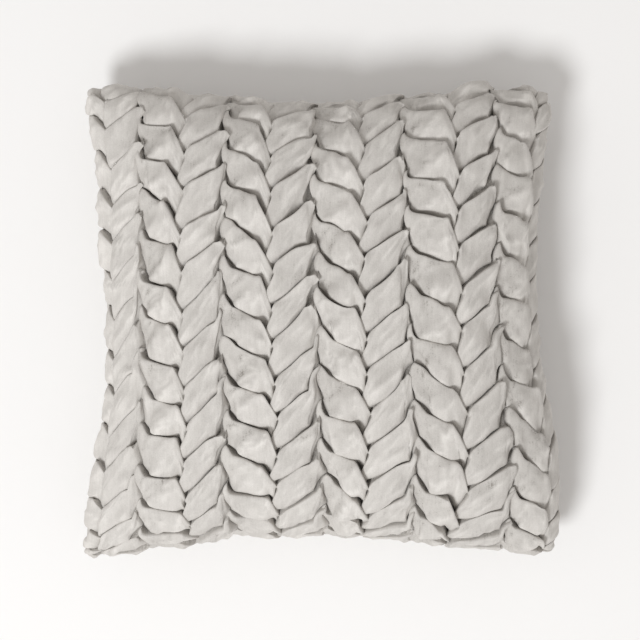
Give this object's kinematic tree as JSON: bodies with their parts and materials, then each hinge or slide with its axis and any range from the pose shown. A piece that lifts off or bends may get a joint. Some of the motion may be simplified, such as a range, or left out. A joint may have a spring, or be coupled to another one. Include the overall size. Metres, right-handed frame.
{
  "type": "pleated cushion",
  "caption": "Square stuffed cushion with a hand-smocked velvet face of overlapping leaf-shaped pleats in chevron columns, and a plain back.",
  "frame": {"origin": "middle of the flat patch that the cushion lies on, on the surface below", "axes": "+Z out of the pleated face, +Y towards the cushion's top edge, +X to the right seen from the front of the face"},
  "size_m": [0.4497, 0.4439, 0.1482],
  "materials": {
    "smocked_velvet": "soft short-pile velvet, pale warm grey",
    "plain_velvet": "plain short-pile velvet, pale warm grey"
  },
  "bodies": {
    "root": {"smocked_cushion": "smocked_velvet", "back_panel": "plain_velvet"}
  },
  "joints": []
}
